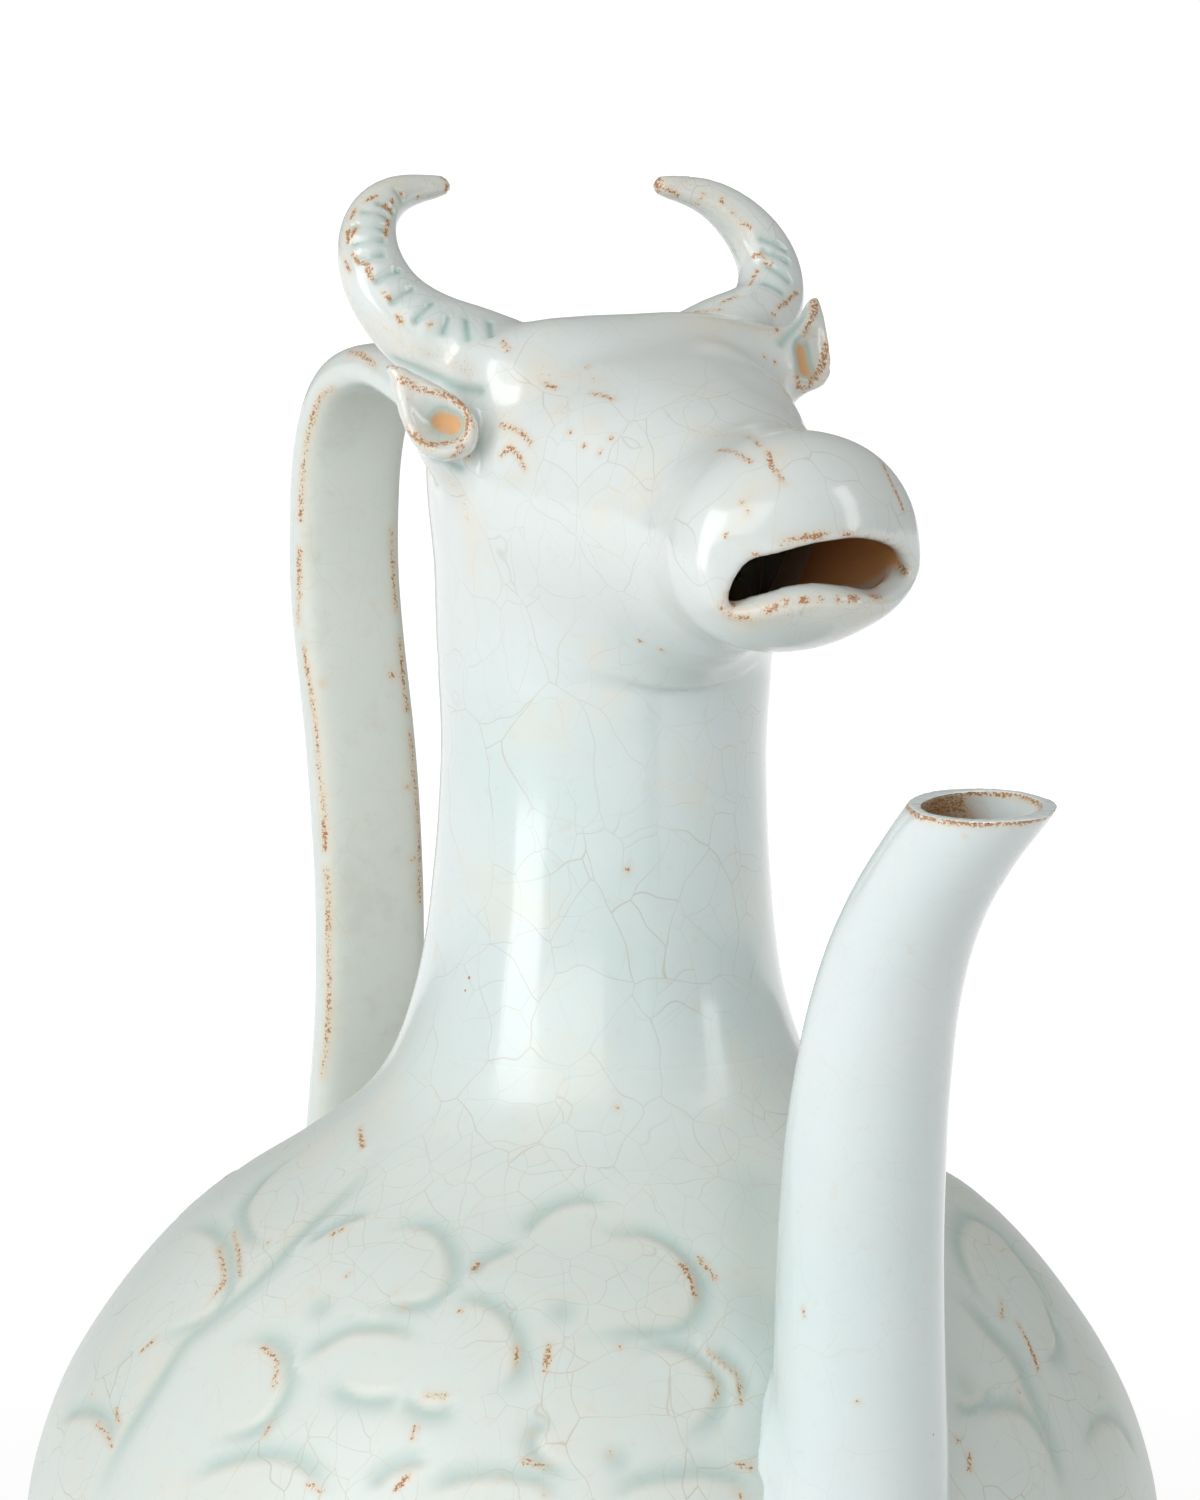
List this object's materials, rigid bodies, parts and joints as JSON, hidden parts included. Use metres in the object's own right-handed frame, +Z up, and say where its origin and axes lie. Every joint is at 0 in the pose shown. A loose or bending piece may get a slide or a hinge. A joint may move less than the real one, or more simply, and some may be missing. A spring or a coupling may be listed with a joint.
{
  "type": "ox-headed porcelain ewer",
  "caption": "Pale bluish-white glazed ewer with a round carved body, tall neck, modelled ox head with horns and ears, curved spout and strap handle.",
  "frame": {"origin": "centre of the flat foot, where the ewer stands", "axes": "+Z up along the neck, the ox's muzzle and the spout face -Y, the handle is at +Y, the ox's right side is at -X"},
  "size_m": [0.2304, 0.2909, 0.384],
  "materials": {
    "glaze": "glossy, finely crackled, rust speckled",
    "bare_clay": "matte, unglazed"
  },
  "bodies": {
    "root": {"foot": "bare_clay", "lower_body": "glaze", "upper_body": "glaze", "neck": "glaze", "ox_head": "glaze", "spout": "glaze", "strap_handle": "glaze", "right_horn": "glaze", "right_ear": "glaze", "right_eye": "glaze", "left_horn": "glaze", "left_ear": "glaze", "left_eye": "glaze"}
  },
  "joints": []
}
